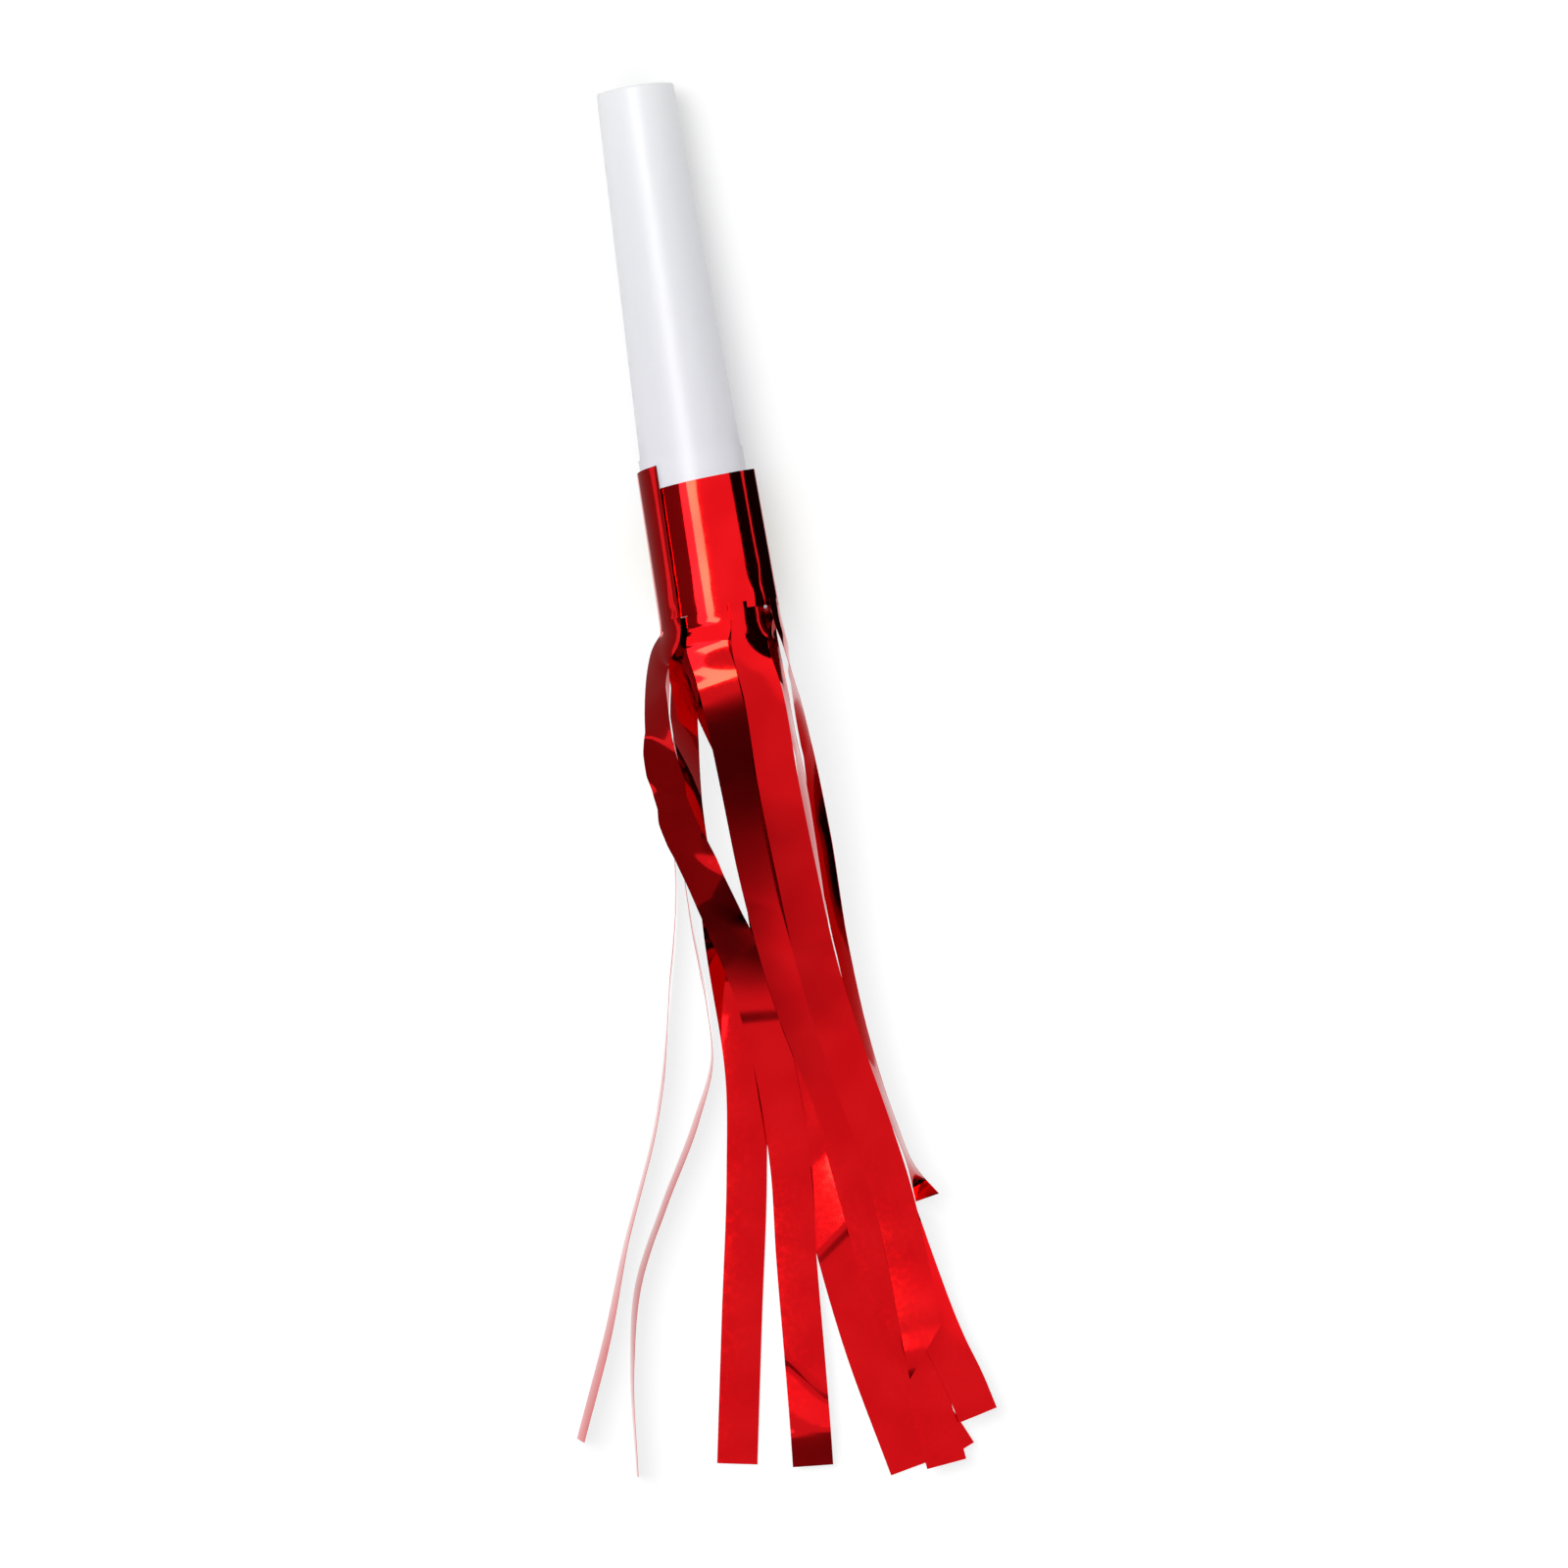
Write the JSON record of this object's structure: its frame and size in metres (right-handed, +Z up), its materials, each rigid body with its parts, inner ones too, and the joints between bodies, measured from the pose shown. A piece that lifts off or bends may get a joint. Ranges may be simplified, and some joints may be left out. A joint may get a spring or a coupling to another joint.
{
  "type": "party horn blower",
  "caption": "Party horn: a tapered milky plastic tube with a beating reed inside, its wide end wrapped in red metallised foil cut into a long tangled fringe.",
  "frame": {"origin": "middle of the whole object's box in X and Y, on the surface it lies on", "axes": "+Y from the fringe's end towards the horn's mouth, +Z up from the surface, +X to the right seen from above with the mouth at the top"},
  "size_m": [0.0528, 0.1776, 0.0159],
  "materials": {
    "tube_plastic": "satin milky polyethylene",
    "reed_plastic": "satin moulded",
    "reed_film": "clear film",
    "tape": "tacky",
    "red_foil": "metallised film, mirror-bright"
  },
  "bodies": {
    "horn": {"horn_tube": "tube_plastic", "reed_plug": "reed_plastic", "reed_wedge": "reed_plastic", "adhesive_tape": "tape", "foil_band": "red_foil"},
    "reed_tongue": {"reed_tongue": "reed_film"},
    "strip_01_crossing_left": {"fringe_strip_01_crossing_left": "red_foil"},
    "strip_02_left_outer_edge": {"fringe_strip_02_left_outer_edge": "red_foil"},
    "strip_03_left_inner_edge": {"fringe_strip_03_left_inner_edge": "red_foil"},
    "strip_04_floor_right": {"fringe_strip_04_floor_right": "red_foil"},
    "strip_05_right_long": {"fringe_strip_05_right_long": "red_foil"},
    "strip_06_right_short": {"fringe_strip_06_right_short": "red_foil"},
    "strip_07_broad_top": {"fringe_strip_07_broad_top": "red_foil"},
    "strip_08_front_loop": {"fringe_strip_08_front_loop": "red_foil"},
    "strip_09_floor_left": {"fringe_strip_09_floor_left": "red_foil"},
    "strip_10_under_right": {"fringe_strip_10_under_right": "red_foil"}
  },
  "joints": [
    {"name": "reed_beat", "type": "hinge", "parent": "horn", "child": "reed_tongue", "pos_m": [0.00645, 0.06264, 0.00626], "axis": [-1, 0, 0], "range_deg": [0, 3.5], "stiffness_Nm_per_rad": 0.0004},
    {"name": "strip_07_broad_top_lift", "type": "hinge", "parent": "horn", "child": "strip_07_broad_top", "pos_m": [0.00645, 0.02172, 0.01455], "axis": [-1, 0, 0], "range_deg": [0, 25], "stiffness_Nm_per_rad": 0.005},
    {"name": "strip_08_front_loop_lift", "type": "hinge", "parent": "horn", "child": "strip_08_front_loop", "pos_m": [0.00645, 0.02178, 0.0148], "axis": [-1, 0, 0], "range_deg": [0, 21.3], "stiffness_Nm_per_rad": 0.005},
    {"name": "strip_01_crossing_left_lift", "type": "hinge", "parent": "horn", "child": "strip_01_crossing_left", "pos_m": [0.00645, 0.02163, 0.01336], "axis": [-1, 0, 0], "range_deg": [0, 23.05], "stiffness_Nm_per_rad": 0.005},
    {"name": "strip_05_right_long_lift", "type": "hinge", "parent": "horn", "child": "strip_05_right_long", "pos_m": [0.00645, 0.0213, 0.00621], "axis": [-1, 0, 0], "range_deg": [0, 15.05], "stiffness_Nm_per_rad": 0.005},
    {"name": "strip_10_under_right_lift", "type": "hinge", "parent": "horn", "child": "strip_10_under_right", "pos_m": [0.00645, 0.02145, 0.00992], "axis": [-1, 0, 0], "range_deg": [0, 12.55], "stiffness_Nm_per_rad": 0.005},
    {"name": "strip_09_floor_left_lift", "type": "hinge", "parent": "horn", "child": "strip_09_floor_left", "pos_m": [0.00645, 0.02166, 0.01361], "axis": [-1, 0, 0], "range_deg": [0, 11.3], "stiffness_Nm_per_rad": 0.005},
    {"name": "strip_04_floor_right_lift", "type": "hinge", "parent": "horn", "child": "strip_04_floor_right", "pos_m": [0.00645, 0.02118, 0.00199], "axis": [-1, 0, 0], "range_deg": [0, 4.55], "stiffness_Nm_per_rad": 0.005},
    {"name": "strip_02_left_outer_edge_swing", "type": "hinge", "parent": "horn", "child": "strip_02_left_outer_edge", "pos_m": [-0.0006, 0.0214, 0.00629], "axis": [0, 0, -1], "range_deg": [0, 15], "stiffness_Nm_per_rad": 0.005},
    {"name": "strip_03_left_inner_edge_swing", "type": "hinge", "parent": "horn", "child": "strip_03_left_inner_edge", "pos_m": [0.00085, 0.02122, 0.00216], "axis": [0, 0, -1], "range_deg": [0, 7.55], "stiffness_Nm_per_rad": 0.005},
    {"name": "strip_06_right_short_swing", "type": "hinge", "parent": "horn", "child": "strip_06_right_short", "pos_m": [0.01338, 0.02153, 0.00898], "axis": [0, 0, 1], "range_deg": [0, 15], "stiffness_Nm_per_rad": 0.005}
  ],
  "couplings": [
    {"joint": "strip_08_front_loop_lift", "follows": "strip_07_broad_top_lift", "ratio": 0.85},
    {"joint": "strip_01_crossing_left_lift", "follows": "strip_07_broad_top_lift", "ratio": 0.92},
    {"joint": "strip_05_right_long_lift", "follows": "strip_07_broad_top_lift", "ratio": 0.6},
    {"joint": "strip_10_under_right_lift", "follows": "strip_07_broad_top_lift", "ratio": 0.5},
    {"joint": "strip_09_floor_left_lift", "follows": "strip_07_broad_top_lift", "ratio": 0.45},
    {"joint": "strip_04_floor_right_lift", "follows": "strip_07_broad_top_lift", "ratio": 0.18},
    {"joint": "strip_03_left_inner_edge_swing", "follows": "strip_02_left_outer_edge_swing", "ratio": 0.5}
  ]
}
